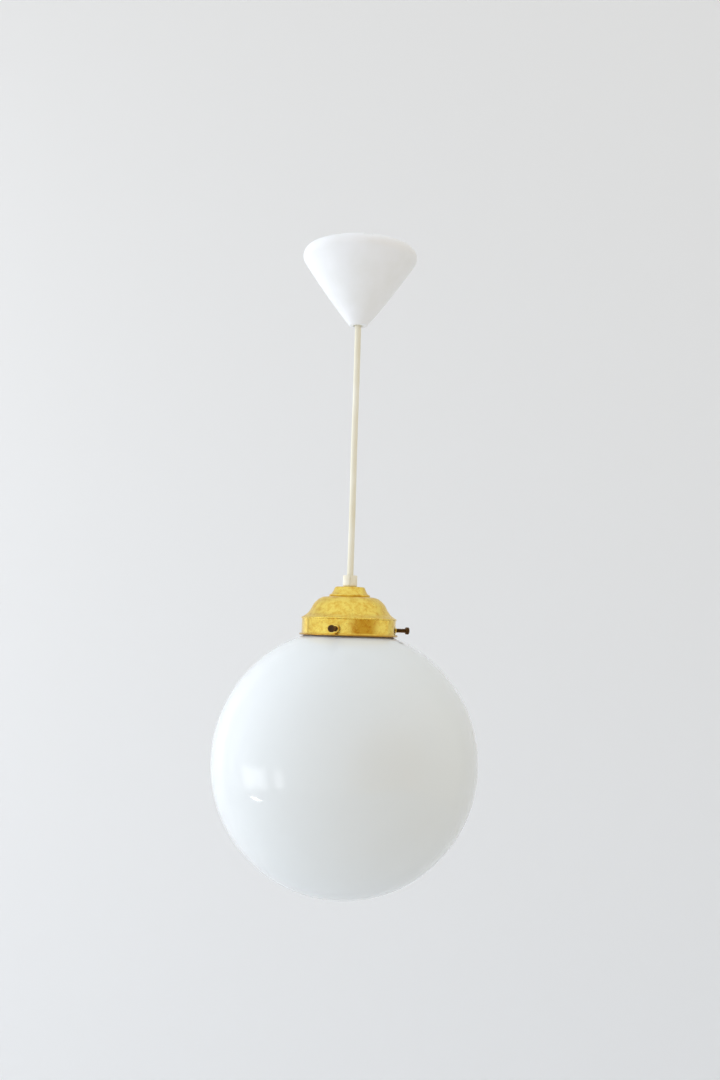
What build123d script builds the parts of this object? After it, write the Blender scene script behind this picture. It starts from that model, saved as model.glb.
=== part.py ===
from build123d import *
import math
import os

# Pendant ceiling light: an opal glass globe in a brass gallery, hung on a round flex from a
# white cone canopy. Millimetres, +Z up. The origin is the middle of the ceiling plate's
# upper face, so the ceiling is the plane z = 0 and everything hangs below it.

# ---------------------------------------------------------------- driving dimensions
# fits that several pieces share
sliding_play = 0.05        # radial, round threads and screws
bush_play = 0.15           # radial, where the flex slides
turn_gap = 0.2             # between the grip and the cap that turns under it
past = 1.0                 # a cutting tool reaches this far past what it cuts

# ceiling plate and hook
plate_length = 56.0
plate_width = 16.0
plate_thick = 2.0
plate_screw_spacing = 40.0
plate_screw_hole_r = 2.4
hook_wire_r = 2.0
hook_bend_r = 6.0
hook_stem = 7.0            # straight wire between the plate and the bend
hook_mouth = 4.0           # way in between the hook's end and the plate

# flex
flex_r = 3.0
flex_free = 241.7          # visible flex, from the canopy's tip to the cord grip
flex_above_clamp = 2.0     # sheath left above the clamp
sheath_wall = 0.35         # at its thinnest, over the conductors
core_r = 1.1               # insulated conductor inside the flex

# flex clamp on the strap
clamp_height = 8.0
clamp_front = 2.6          # plastic in front of the flex
clamp_edge = 1.55          # plastic outside the screws
clamp_gap = 0.4            # between clamp and strap
clamp_screw_r = 1.25
clamp_screw_gap = 0.95     # plastic between the flex and a screw
small_head_r = 2.3
small_head_h = 1.7

# hanger strap that hangs in the hook
strap_thick = 2.0
strap_edge = 0.55          # steel outside the screw holes
strap_eye_room = 1.2       # the eye's radius is this much larger than the wire's
strap_eye_play = 0.2       # between the eye and the hook's wire
strap_neck = 8.0           # straight strap below the eye, before the joggle
strap_joggle = 6.0         # height of the joggle
strap_above_tip = 9.7      # the strap ends this far above the canopy's tip
strap_below_clamp = 1.0

# terminal block on the strap
block_depth = 14.0
block_height = 16.0
block_edge = 2.5           # plastic outside the end poles
block_below_joggle = 0.6
pole_pitch = 9.5
pole_count = 3
pole_groove = 1.2          # slot between poles, and 2 deep
pole_groove_depth = 2.0
tube_r = 2.5
tube_bore_r = 1.7
tube_inset = 0.5           # the tubes end inside the block
pole_screw_r = 1.4
pole_screw_inset = 4.0     # from the block's ends to the screws

# canopy
rim_gap = 1.0              # the rim stops this far below the ceiling
canopy_height = 75.7
canopy_tip_r = 8.4
canopy_wide_r = 55.0
canopy_shoulder_r = 8.5
canopy_side_lean = 33.0    # degrees off vertical where the side meets the shoulder
canopy_wall = 2.0
canopy_hole_r = 5.2
canopy_tip_round = 1.2
cable_notch_width = 9.0
cable_notch_height = 2.6
cable_notch_at = -82.0     # degrees about Z
relief_height = 1.7        # long shallow relief in the rim
relief_from = -165.0
relief_to = -111.0
bush_height = 7.0
bush_gap = 0.3             # between the bush and the canopy's wall

# cord grip on top of the shade
grip_r = 6.8
grip_height = 10.7
grip_chamfer = 1.0
grip_mouth_flare = 1.45    # the mouth widens this much over its depth
grip_mouth_depth = 2.5
grip_slit_width = 0.6
grip_slit_depth = 0.9
grip_screw_r = 1.5
grip_screw_sink = 0.6      # below the grip's surface
flex_in_mouth = 1.2        # the flex's rounded end reaches this far into the grip
tail_gap = 1.2             # room for the flex to bend, between the flex and its clamped tail
tail_height = 2.7

# gallery: heights are from its lowest edge
gallery_wall = 1.0
band_r = 44.5
band_height = 16.2
ridge_out = 0.8            # the ridge stands this far out of the band
ridge_below = 0.8          # of the band's top, and it ends above it
ridge_above = 1.0
ridge_peak = 0.1
flange_out = 2.1           # so does the rolled flange
flange_height = 2.1
shoulder_height = 37.0
# the dome's outline: in from the band, and up as a share of its height above the band
dome_outline = [(1.7, 0.096), (5.0, 0.212), (8.1, 0.413), (11.6, 0.707)]
dome_edge_in = 17.4        # where the dome rounds over into its flat top
dome_edge_drop = 1.3
dome_flat_in = 23.4
dome_start_slope = 0.35    # up for each millimetre in, at the ridge
cap_height = 9.4
cap_wall = 0.8
cap_top_r = 14.5
cap_foot_r = 18.3
cap_bead_r = 1.1
cap_corner_r = 1.6

# thumbscrews
screw_count = 3
screw_first_at = 15.0      # degrees about Z
screw_height = 6.5
screw_r = 2.0
screw_head_r = 3.4
screw_head_thick = 3.4
screw_head_chamfer = 0.4
screw_out = 15.2           # from the band to the end of the head
screw_tip_gap = 0.35       # between a screw's tip and the glass
boss_wall = 1.3            # round the screw
boss_out = 2.1             # the boss stands this far out of the band
boss_neck_wall = 0.7
boss_behind = 0.2          # the neck ends this far inside the band

# threaded nipple through the gallery, with its nuts
nipple_r = 4.95
nipple_bore_r = 3.6
nipple_in_holder = 5.0
nut_wall = 2.05            # from the thread to a flat
nut_height = 3.0
washer_r = 9.0
washer_height = 1.0

# lamp holder, below the lower nut
holder_gap = 1.0
holder_r = 20.0
holder_wall = 1.6
holder_collar_wall = 3.55  # round the nipple's thread
holder_collar_height = 3.5
holder_slope_drop = 9.5    # from the top to the slope's outer end
holder_slope_in = 2.5
holder_shoulder_drop = 14.0
holder_cap_height = 23.0
holder_skirt_height = 34.0
holder_foot_in = 2.0       # the skirt's foot turns in
holder_foot_height = 1.5
holder_foot_slope = 2.0
insert_play = 0.4
insert_height = 8.0
insert_below_split = 2.0
insert_recess = 3.0        # for the centre contact
insert_vent_r = 1.6
shell_wall = 0.4
shell_length = 24.0
terminal_circle_r = 11.0
terminal_size = 5.0
contact_gap = 0.1          # between the holder's contact and the bulb's
contact_stem_in = 1.2      # the contact's stem is thinner than the bulb's contact
contact_collar_in = 0.4
contact_collar_height = 0.8
core_end_gap = 0.5
core_bend_drop = 3.0       # the conductors leave the nipple's end by this much and spread

# bulb, seated against the insert
bulb_seat = 1.2            # from the insert's lower face to the bulb's contact
bulb_play = 0.25           # radial, between the thread shell and the cap
bulb_cap_r = 13.1
bulb_cap_wall = 0.4
bulb_cap_length = 20.5
bulb_cone_r = 9.0
bulb_cone_height = 2.0
bulb_contact_r = 4.6
bulb_contact_height = 0.8
bulb_tip_height = 3.8      # cone, insulator and contact above the threaded cap
bulb_cement = 0.3          # between cap and glass
bulb_glass_r = 30.0
bulb_glass_wall = 0.8
bulb_glass_length = 82.5   # below the cap
bulb_neck_in_cap = 7.0
bulb_neck_below_cap = 3.0
bulb_join_at = 40.0        # degrees above the middle of the round part
bulb_stem_r = 3.0
bulb_stem_length = 28.0
filament_r = 0.35
filament_gap = 0.1         # between the stem's foot and the filament's leads
filament_reach = 8.0
filament_drop = 10.0
filament_dip = 6.0

# glass globe
globe_r = 125.0
globe_wall = 3.0
globe_neck_gap = 2.5       # between the neck and the inside of the band
globe_fillet = 2.5
globe_lip_swell = 1.6
globe_lip_above_screws = 0.7
globe_lip_height = 3.8
globe_edge_r = 1.2
globe_seat_gap = 0.6       # between the glass and the gallery's lower edge


# ---------------------------------------------------------------- worked out from the above
rim_z = -rim_gap
tip_z = rim_z - canopy_height
grip_top_z = tip_z - flex_free
grip_low_z = grip_top_z - grip_height
gallery_height = shoulder_height + cap_height
flange_z = grip_low_z - turn_gap - gallery_height

clamp_screw_x = flex_r + clamp_screw_gap + clamp_screw_r
clamp_width = 2 * (clamp_screw_x + clamp_screw_r + clamp_edge)
strap_width = 2 * (clamp_screw_x + clamp_screw_r + strap_edge)
strap_eye_r = hook_wire_r + strap_eye_room
strap_ring_r = strap_width / 2
hook_centre_z = -plate_thick - hook_stem
hook_low_z = hook_centre_z - hook_bend_r
eye_z = hook_low_z - (strap_eye_room - strap_eye_play)
joggle_top_z = eye_z - strap_neck
joggle_low_z = joggle_top_z - strap_joggle
strap_y = flex_r + strap_thick / 2
strap_front_y = strap_y - strap_thick / 2
strap_low_z = tip_z + strap_above_tip
clamp_low_z = strap_low_z + strap_below_clamp
clamp_top_z = clamp_low_z + clamp_height
clamp_z = (clamp_low_z + clamp_top_z) / 2
flex_top_z = clamp_top_z + flex_above_clamp
core_circle_r = flex_r - sheath_wall - core_r
block_top_z = joggle_low_z - block_below_joggle
block_low_z = block_top_z - block_height
block_z = (block_low_z + block_top_z) / 2
block_front_y = strap_front_y - block_depth
block_width = (pole_count - 1) * pole_pitch + 2 * (tube_r + block_edge)
pole_y = strap_front_y - block_depth / 2
pole_xs = [(i - (pole_count - 1) / 2) * pole_pitch for i in range(pole_count)]
pole_screw_zs = [block_low_z + pole_screw_inset, block_top_z - pole_screw_inset]

tail_top_z = grip_top_z - flex_in_mouth - tail_gap
nipple_top_z = tail_top_z - tail_height - turn_gap
grip_screw_z = tail_top_z - tail_height / 2

# these heights are from the gallery's lowest edge
band_in_r = band_r - gallery_wall
flange_r = band_r + flange_out
boss_r = screw_r + boss_wall
boss_neck_r = screw_r + boss_neck_wall
nipple_hole_r = nipple_r + sliding_play
nut_flats = 2 * (nipple_r + nut_wall)
dome_under = shoulder_height - gallery_wall
holder_top = dome_under - washer_height - nut_height - holder_gap
nipple_low = holder_top - nipple_in_holder
holder_split = holder_top - holder_cap_height
holder_low = holder_split - holder_skirt_height
holder_in_r = holder_r - holder_wall
insert_low = holder_split - insert_below_split
insert_top = insert_low + insert_height
shell_in_r = bulb_cap_r + bulb_play
bulb_top = insert_low - bulb_seat
bulb_cap_top = bulb_top - bulb_tip_height
bulb_cap_low = bulb_cap_top - bulb_cap_length
bulb_neck_r = bulb_cap_r - bulb_cap_wall - bulb_cement
bulb_neck_top = bulb_cap_low + bulb_neck_in_cap
bulb_low = bulb_cap_low - bulb_glass_length
globe_neck_r = band_in_r - globe_neck_gap
globe_lip_r = globe_neck_r + globe_lip_swell
globe_lip_low = screw_height + screw_r + globe_lip_above_screws
globe_lip_top = globe_lip_low + globe_lip_height
globe_z = -(math.sqrt(globe_r ** 2 - band_in_r ** 2) + globe_seat_gap)


# ---------------------------------------------------------------- helpers
def at(r, z):
    """a point of an outline, on the XZ plane"""
    return (r, 0, z)


def spun(*edges):
    """the closed outline turned about Z"""
    return revolve(make_face(Curve() + list(edges)), Axis.Z)


def spun_polygon(points):
    return revolve(make_face(Polyline(*[at(r, z) for r, z in points], close=True)), Axis.Z)


def arc(centre, radius, start, end):
    """an arc on the XZ plane, between two angles in degrees above +X"""
    turns = [math.radians(a) for a in (start, (start + end) / 2, end)]
    points = [at(centre[0] + radius * math.cos(a), centre[1] + radius * math.sin(a)) for a in turns]
    return ThreePointArc(*points)


def rod(radius, low, high, x=0.0, y=0.0):
    return Pos(x, y, low) * Cylinder(radius, high - low, align=(Align.CENTER, Align.CENTER, Align.MIN))


def tube(outer, inner, low, high, x=0.0, y=0.0):
    return rod(outer, low, high, x, y) - rod(inner, low - past, high + past, x, y)


def along_y(radius, start, end, x, z):
    """a round bar along Y"""
    return Pos(x, (start + end) / 2, z) * Rot(90, 0, 0) * Cylinder(radius, end - start)


def block(x, y, z):
    """a box from three pairs of limits"""
    size = [high - low for low, high in (x, y, z)]
    return Pos(*[(low + high) / 2 for low, high in (x, y, z)]) * Box(*size)


def polar(radius, degrees):
    return radius * math.cos(math.radians(degrees)), radius * math.sin(math.radians(degrees))


def wire(points, radius, bend):
    """a round wire through the points, with rounded corners"""
    path = FilletPolyline(*points, radius=bend)
    return sweep(Plane(origin=path @ 0, z_dir=path % 0) * Circle(radius), path=path)


def inset(points, wall):
    """the points of an outline moved square to it by the wall, towards the inside"""
    moved = []
    for i, (r, z) in enumerate(points):
        r0, z0 = points[max(i - 1, 0)]
        r1, z1 = points[min(i + 1, len(points) - 1)]
        long = math.hypot(r1 - r0, z1 - z0)
        moved.append((r - wall * (z1 - z0) / long, z + wall * (r1 - r0) / long))
    return moved


def hexagon_nut(low, height, bore):
    nut = Pos(0, 0, low) * extrude(RegularPolygon(nut_flats / 2, 6, major_radius=False), height)
    return nut - rod(bore, low - past, low + height + past)


# ---------------------------------------------------------------- ceiling plate and hook
def make_ceiling_plate():
    ends = plate_length / 2 - plate_width / 2
    plate = extrude(SlotCenterToCenter(2 * ends, plate_width), -plate_thick)
    for side in (-1, 1):
        plate -= rod(plate_screw_hole_r, -plate_thick - past, past, x=side * plate_screw_spacing / 2)
    return plate


def make_ceiling_hook():
    stem_y = -hook_bend_r
    stem = Line((0, stem_y, -plate_thick), (0, stem_y, hook_centre_z))
    bend = ThreePointArc((0, stem_y, hook_centre_z), (0, 0, hook_low_z), (0, hook_bend_r, hook_centre_z))
    end_z = -plate_thick - hook_mouth
    end = Line((0, hook_bend_r, hook_centre_z), (0, hook_bend_r, end_z))
    path = Wire([stem.edge(), bend.edge(), end.edge()])
    return sweep(Plane(origin=(0, stem_y, -plate_thick), z_dir=(0, 0, -1)) * Circle(hook_wire_r), path=path)


# ---------------------------------------------------------------- hanger, clamp and terminals
def make_hanger_strap():
    half = strap_thick / 2
    top_z = eye_z + strap_ring_r
    outline = [(-half, top_z), (half, top_z), (half, joggle_top_z), (strap_y + half, joggle_low_z),
               (strap_y + half, strap_low_z), (strap_y - half, strap_low_z),
               (strap_y - half, joggle_low_z), (-half, joggle_top_z)]
    side = make_face(Polyline(*[(0, y, z) for y, z in outline], close=True))
    strap = extrude(side, strap_width / 2, dir=(1, 0, 0), both=True)
    corner = block((-strap_width, strap_width), (-strap_width, strap_width), (eye_z, top_z + past))
    strap -= corner - along_y(strap_ring_r, -strap_width, strap_width, 0, eye_z)
    strap -= along_y(strap_eye_r, -2 * strap_thick, 2 * strap_thick, 0, eye_z)
    for side_x in (-clamp_screw_x, clamp_screw_x):
        strap -= along_y(clamp_screw_r, 0, strap_y + strap_thick, side_x, clamp_z)
    return strap - along_y(clamp_screw_r, 0, strap_y + strap_thick, pole_pitch / 2, block_z)


def make_cord_clamp():
    front = -flex_r - clamp_front
    half = clamp_width / 2
    saddle = block((-half, half), (front, strap_front_y - clamp_gap), (clamp_low_z, clamp_top_z))
    saddle -= rod(flex_r, clamp_low_z - past, clamp_top_z + past)
    for side_x in (-clamp_screw_x, clamp_screw_x):
        saddle -= along_y(clamp_screw_r, front - past, flex_r + past, side_x, clamp_z)
    return saddle


def headed_screw(x, z, head_y, end_y):
    """a small screw along Y with its head towards -Y"""
    shank = along_y(clamp_screw_r, head_y, end_y, x, z)
    return shank + along_y(small_head_r, head_y - small_head_h, head_y, x, z)


def make_clamp_screws():
    head_y = -flex_r - clamp_front
    end_y = strap_y + strap_thick
    return Compound(children=[headed_screw(x, clamp_z, head_y, end_y) for x in (-clamp_screw_x, clamp_screw_x)])


def make_terminal_block():
    half = block_width / 2
    slot = pole_groove / 2
    cut_low, cut_high = block_low_z - past, block_top_z + past
    body = block((-half, half), (block_front_y, strap_front_y), (block_low_z, block_top_z))
    for groove_x in [(a + b) / 2 for a, b in zip(pole_xs, pole_xs[1:])]:
        body -= block((groove_x - slot, groove_x + slot),
                      (block_front_y - past, block_front_y + pole_groove_depth), (cut_low, cut_high))
    for x in pole_xs:
        body -= rod(tube_r, cut_low, cut_high, x, pole_y)
        for z in pole_screw_zs:
            body -= along_y(pole_screw_r, block_front_y - past, pole_y, x, z)
    return body - along_y(clamp_screw_r, block_front_y - past, strap_front_y + past, pole_pitch / 2, block_z)


def make_terminal_tubes():
    low, high = block_low_z + tube_inset, block_top_z - tube_inset
    return Compound(children=[tube(tube_r, tube_bore_r, low, high, x, pole_y) for x in pole_xs])


def make_terminal_screws():
    head_y = block_front_y + tube_inset
    return Compound(children=[along_y(pole_screw_r, head_y, pole_y - tube_r, x, z)
                              for x in pole_xs for z in pole_screw_zs])


def make_block_screw():
    return headed_screw(pole_pitch / 2, block_z, block_front_y, strap_y + strap_thick)


def make_upper_conductors():
    cores = []
    for i, x in enumerate(pole_xs):
        start_x, start_y = polar(core_circle_r, 180 - 90 * i)
        rise = (block_low_z - flex_top_z) / 3
        points = [(start_x, start_y, flex_top_z), (start_x, start_y, flex_top_z + rise),
                  (x, pole_y, block_low_z - rise), (x, pole_y, block_low_z + pole_screw_inset)]
        cores.append(wire(points, core_r, core_r))
    return Compound(children=cores)


# ---------------------------------------------------------------- canopy
def canopy_outline():
    """centres and angles of the canopy's two arcs, from its shoulder and its tip"""
    shoulder = (canopy_wide_r - canopy_shoulder_r, rim_z - canopy_shoulder_r)
    lean = math.radians(canopy_side_lean)
    out = (math.cos(lean), -math.sin(lean))
    meet = (shoulder[0] + canopy_shoulder_r * out[0], shoulder[1] + canopy_shoulder_r * out[1])
    chord = (canopy_tip_r - meet[0], tip_z - meet[1])
    side_r = -(chord[0] ** 2 + chord[1] ** 2) / (2 * (chord[0] * out[0] + chord[1] * out[1]))
    centre = (meet[0] - side_r * out[0], meet[1] - side_r * out[1])
    return shoulder, centre, side_r


def circle_at_height(centre, radius, z):
    """where the circle's outer side crosses a height: the radius there, and the angle in degrees"""
    r = centre[0] + math.sqrt(radius ** 2 - (z - centre[1]) ** 2)
    return r, math.degrees(math.atan2(z - centre[1], r - centre[0]))


floor_z = tip_z + canopy_wall
bush_r = circle_at_height(canopy_outline()[1], canopy_outline()[2] - canopy_wall, floor_z)[0] - bush_gap


def make_canopy():
    shoulder, centre, side_r = canopy_outline()
    floor_r, floor_angle = circle_at_height(centre, side_r - canopy_wall, floor_z)
    tip_angle = circle_at_height(centre, side_r, tip_z)[1]
    inner_r = canopy_shoulder_r - canopy_wall
    cone = spun(Line(at(canopy_hole_r, tip_z), at(canopy_tip_r, tip_z)),
                arc(centre, side_r, tip_angle, -canopy_side_lean),
                arc(shoulder, canopy_shoulder_r, -canopy_side_lean, 90),
                Line(at(shoulder[0], rim_z), at(shoulder[0], rim_z - canopy_wall)),
                arc(shoulder, inner_r, 90, -canopy_side_lean),
                arc(centre, side_r - canopy_wall, -canopy_side_lean, floor_angle),
                Line(at(floor_r, floor_z), at(canopy_hole_r, floor_z)),
                Line(at(canopy_hole_r, floor_z), at(canopy_hole_r, tip_z)))
    lowest_edges = cone.edges().filter_by(GeomType.CIRCLE).group_by(Axis.Z)[0]
    cone = fillet(lowest_edges.sort_by(SortBy.RADIUS)[-1], canopy_tip_round)
    notch = block((canopy_tip_r, canopy_wide_r), (-cable_notch_width / 2, cable_notch_width / 2),
                  (rim_z - cable_notch_height, rim_z + past))
    cone -= Rot(0, 0, cable_notch_at) * notch
    relief_low, relief_high = rim_z - relief_height, rim_z + past
    section = make_face(Polyline(at(canopy_tip_r, relief_low), at(canopy_wide_r, relief_low),
                                 at(canopy_wide_r, relief_high), at(canopy_tip_r, relief_high), close=True))
    return cone - Rot(0, 0, relief_from) * revolve(section, Axis.Z, relief_to - relief_from)


def make_canopy_bush():
    return tube(bush_r, flex_r + bush_play, floor_z, floor_z + bush_height)


# ---------------------------------------------------------------- flex and cord grip
def make_flex():
    low_z = grip_top_z - flex_in_mouth
    cord = rod(flex_r, low_z, flex_top_z)
    return fillet(cord.edges().sort_by(Axis.Z)[0], flex_r / 3)


def make_flex_tail():
    tail = rod(flex_r, nipple_top_z + turn_gap, tail_top_z)
    return fillet(tail.edges().sort_by(Axis.Z)[-1], flex_r / 6)


def make_cord_grip():
    socket_z = nipple_top_z + turn_gap
    bore_r = flex_r + bush_play
    body = tube(grip_r, bore_r, grip_low_z, grip_top_z)
    body -= rod(nipple_hole_r, grip_low_z - past, socket_z)
    mouth = Pos(0, 0, grip_top_z) * Cone(bore_r, bore_r + grip_mouth_flare, grip_mouth_depth,
                                         align=(Align.CENTER, Align.CENTER, Align.MAX))
    body -= mouth
    rims = body.edges().filter_by(GeomType.CIRCLE).group_by(Axis.Z)[0].sort_by(SortBy.RADIUS)
    body = chamfer(rims[-1], grip_chamfer)
    half = grip_slit_width / 2
    body -= block((-half, half), (-grip_r - past, -grip_r + grip_slit_depth),
                  (grip_low_z - past, grip_top_z + past))
    return body - along_y(grip_screw_r, 0, grip_r + past, 0, grip_screw_z)


def make_grip_screw():
    return along_y(grip_screw_r, flex_r, grip_r - grip_screw_sink, 0, grip_screw_z)


# ---------------------------------------------------------------- gallery
def make_gallery():
    top_z = shoulder_height
    dome_z = band_height + ridge_above
    ridge_low_z = band_height - ridge_below
    dome_rise = top_z - band_height
    outside = [(band_r, dome_z)] + [(band_r - r, band_height + share * dome_rise) for r, share in dome_outline]
    outside.append((band_r - dome_edge_in, top_z - dome_edge_drop))
    inside = inset(outside, gallery_wall)
    flat_r = band_r - dome_flat_in
    bead_r = flange_height / 2
    bead_x = flange_r - bead_r
    flow = ((-1, 0, dome_start_slope), (-1, 0, 0))
    dome_out = Spline(*[at(*p) for p in outside], at(flat_r, top_z), tangents=flow)
    dome_in = Spline(*[at(*p) for p in inside], at(flat_r, dome_under), tangents=flow)
    peak = at(band_r + ridge_out, band_height + ridge_peak)
    ridge = ThreePointArc(at(band_r, ridge_low_z), peak, at(*outside[0]))
    return spun(Line(at(band_in_r, 0), at(bead_x, 0)),
                ThreePointArc(at(bead_x, 0), at(flange_r, bead_r), at(bead_x, flange_height)),
                Line(at(bead_x, flange_height), at(band_r, flange_height)),
                Line(at(band_r, flange_height), at(band_r, ridge_low_z)),
                ridge, dome_out,
                Line(at(flat_r, top_z), at(nipple_hole_r, top_z)),
                Line(at(nipple_hole_r, top_z), at(nipple_hole_r, dome_under)),
                Line(at(nipple_hole_r, dome_under), at(flat_r, dome_under)),
                dome_in,
                Line(at(*inside[0]), at(band_in_r, ridge_low_z)),
                Line(at(band_in_r, ridge_low_z), at(band_in_r, 0)))


def screw_angles():
    return [screw_first_at + i * 360 / screw_count for i in range(screw_count)]


def radial(part, degrees):
    """a part built along X at z = 0 goes to its screw's place on the band"""
    return Rot(0, 0, degrees) * Pos(0, 0, screw_height) * part


def along_x(radius, start, end):
    return Pos((start + end) / 2, 0, 0) * Rot(0, 90, 0) * Cylinder(radius, end - start)


def bore_gallery(gallery):
    for degrees in screw_angles():
        gallery -= radial(along_x(boss_neck_r, band_in_r - past, band_r + past), degrees)
    return gallery


def make_screw_bosses():
    bosses = []
    for degrees in screw_angles():
        boss = along_x(boss_r, band_r, band_r + boss_out)
        boss += along_x(boss_neck_r, band_in_r - boss_behind, band_r)
        boss -= along_x(screw_r + sliding_play, band_in_r - past, band_r + boss_out + past)
        bosses.append(radial(boss, degrees))
    return Compound(children=bosses)


def make_thumbscrew(degrees):
    end = band_r + screw_out
    shank = along_x(screw_r, globe_neck_r + screw_tip_gap, end - screw_head_thick)
    head = along_x(screw_head_r, end - screw_head_thick, end)
    head = chamfer(head.edges().filter_by(GeomType.CIRCLE), screw_head_chamfer)
    return radial(shank + head, degrees)


def make_gallery_cap():
    low, top = shoulder_height, gallery_height
    bead_z = low + cap_bead_r
    bead_top = bead_z + cap_bead_r
    foot_in, wall_in = cap_foot_r - cap_wall, cap_top_r - cap_wall
    corner_r, corner_z = cap_top_r - cap_corner_r, top - cap_corner_r
    under = top - cap_wall
    return spun(Line(at(nipple_hole_r, top), at(corner_r, top)),
                arc((corner_r, corner_z), cap_corner_r, 90, 0),
                Line(at(cap_top_r, corner_z), at(cap_foot_r, bead_top)),
                arc((cap_foot_r, bead_z), cap_bead_r, 90, -90),
                Line(at(cap_foot_r, low), at(foot_in, low)),
                Line(at(foot_in, low), at(foot_in, bead_top)),
                Line(at(foot_in, bead_top), at(wall_in, corner_z)),
                Line(at(wall_in, corner_z), at(corner_r, under)),
                Line(at(corner_r, under), at(nipple_hole_r, under)),
                Line(at(nipple_hole_r, under), at(nipple_hole_r, top)))


def make_nipple():
    return tube(nipple_r, nipple_bore_r, nipple_low, nipple_top_z - flange_z)


def make_upper_nut():
    return hexagon_nut(shoulder_height, nut_height, nipple_hole_r)


def make_washer():
    return tube(washer_r, nipple_hole_r, dome_under - washer_height, dome_under)


def make_lower_nut():
    return hexagon_nut(holder_top + holder_gap, nut_height, nipple_hole_r)


# ---------------------------------------------------------------- lamp holder
def make_holder_cap():
    collar_r = nipple_r + holder_collar_wall
    outside = [(holder_r, holder_split), (holder_r, holder_top - holder_shoulder_drop),
               (holder_r - holder_slope_in, holder_top - holder_slope_drop),
               (collar_r, holder_top - holder_collar_height)]
    inside = inset(outside, holder_wall)
    collar = [(collar_r, holder_top), (nipple_hole_r, holder_top), (nipple_hole_r, inside[-1][1])]
    return spun_polygon(outside + collar + inside[::-1])


def make_holder_skirt():
    foot_r = holder_in_r - holder_foot_in
    foot_z = holder_low + holder_foot_height
    return spun_polygon([(holder_r, holder_split), (holder_r, holder_low), (foot_r, holder_low), (foot_r, foot_z),
                         (holder_in_r, foot_z + holder_foot_slope), (holder_in_r, holder_split)])


def terminal_angles():
    return [90 + 360 / pole_count * i for i in range(pole_count)]


def make_holder_insert():
    insert = rod(holder_in_r - insert_play, insert_low, insert_top)
    insert -= rod(bulb_contact_r, insert_low - past, insert_low + insert_recess)
    for degrees in terminal_angles():
        x, y = polar(terminal_circle_r, degrees + 180 / pole_count)
        insert -= rod(insert_vent_r, insert_low - past, insert_top + past, x, y)
    return insert


def make_thread_shell():
    return tube(shell_in_r + shell_wall, shell_in_r, insert_low - shell_length, insert_low)


def make_centre_contact():
    low = bulb_top + contact_gap
    collar_low = low + contact_stem_in
    stem = rod(bulb_contact_r - contact_stem_in, low, insert_low + insert_recess)
    return stem + rod(bulb_contact_r - contact_collar_in, collar_low, collar_low + contact_collar_height)


def make_holder_terminals():
    half = terminal_size / 2
    posts = []
    for degrees in terminal_angles():
        post = block((terminal_circle_r - half, terminal_circle_r + half), (-half, half),
                     (insert_top, insert_top + terminal_size))
        post -= Pos(0, 0, insert_top + half) * along_x(core_r, 0, terminal_circle_r)
        posts.append(Rot(0, 0, degrees) * post)
    return Compound(children=posts)


def make_holder_conductors():
    cores = []
    entry_z = insert_top + terminal_size / 2
    top = nipple_top_z - flange_z - core_end_gap
    for degrees in terminal_angles():
        x, y = polar(core_circle_r, degrees)
        turn_x, turn_y = polar(core_circle_r + core_bend_drop, degrees)
        end_x, end_y = polar(terminal_circle_r - core_end_gap, degrees)
        points = [(x, y, top), (x, y, nipple_low - core_bend_drop),
                  (turn_x, turn_y, entry_z), (end_x, end_y, entry_z)]
        cores.append(wire(points, core_r - sliding_play, 2 * core_r))
    return Compound(children=cores)


# ---------------------------------------------------------------- bulb
def make_bulb_cap():
    inner = bulb_cap_r - bulb_cap_wall
    cone_top = bulb_cap_top + bulb_cone_height
    return spun_polygon([(bulb_cap_r, bulb_cap_low), (bulb_cap_r, bulb_cap_top), (bulb_cone_r, cone_top),
                         (bulb_cone_r - bulb_cap_wall, cone_top), (inner, bulb_cap_top), (inner, bulb_cap_low)])


def make_bulb_insulator():
    cone_top = bulb_cap_top + bulb_cone_height
    contact_low = bulb_top - bulb_contact_height
    inner = bulb_cone_r - bulb_cap_wall
    foot = cone_top - bulb_cone_height / 2
    return spun_polygon([(0, foot), (inner, foot), (inner, cone_top), (bulb_contact_r, contact_low),
                         (0, contact_low)])


def make_bulb_contact():
    disc = rod(bulb_contact_r, bulb_top - bulb_contact_height, bulb_top)
    return fillet(disc.edges().sort_by(Axis.Z)[-1], bulb_contact_height / 2)


def make_bulb_glass():
    centre_z = bulb_low + bulb_glass_r
    neck_low = bulb_cap_low - bulb_neck_below_cap
    turn = math.radians(bulb_join_at)

    def skin(shrink):
        sphere_r, neck = bulb_glass_r - shrink, bulb_neck_r - shrink
        meet = at(sphere_r * math.cos(turn), centre_z + sphere_r * math.sin(turn))
        flow = Spline(at(neck, neck_low), meet, tangents=((0, 0, -1), (math.sin(turn), 0, -math.cos(turn))))
        ball = arc((0, centre_z), sphere_r, bulb_join_at, -90)
        return [Line(at(neck, bulb_neck_top), at(neck, neck_low)), flow, ball]

    outer, inner = skin(0), skin(bulb_glass_wall)
    ends = [Line(at(bulb_neck_r, bulb_neck_top), at(bulb_neck_r - bulb_glass_wall, bulb_neck_top)),
            Line(at(0, bulb_low), at(0, bulb_low + bulb_glass_wall))]
    return spun(*outer, *inner, *ends)


def make_bulb_stem():
    flare_z = bulb_neck_top - 2 * bulb_glass_wall
    flare = rod(bulb_neck_r - bulb_glass_wall - sliding_play, flare_z - bulb_glass_wall, flare_z)
    return flare + rod(bulb_stem_r, flare_z - bulb_stem_length, flare_z)


def make_filament():
    lead_z = bulb_neck_top - 2 * bulb_glass_wall - bulb_stem_length - filament_gap
    low = lead_z - filament_drop
    near, bend = bulb_stem_r / 2, bulb_stem_r
    points = [(-near, 0, lead_z), (-filament_reach, 0, low), (-bend, 0, low - filament_dip),
              (bend, 0, low - filament_dip), (filament_reach, 0, low), (near, 0, lead_z)]
    return wire(points, filament_r, near)


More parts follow.
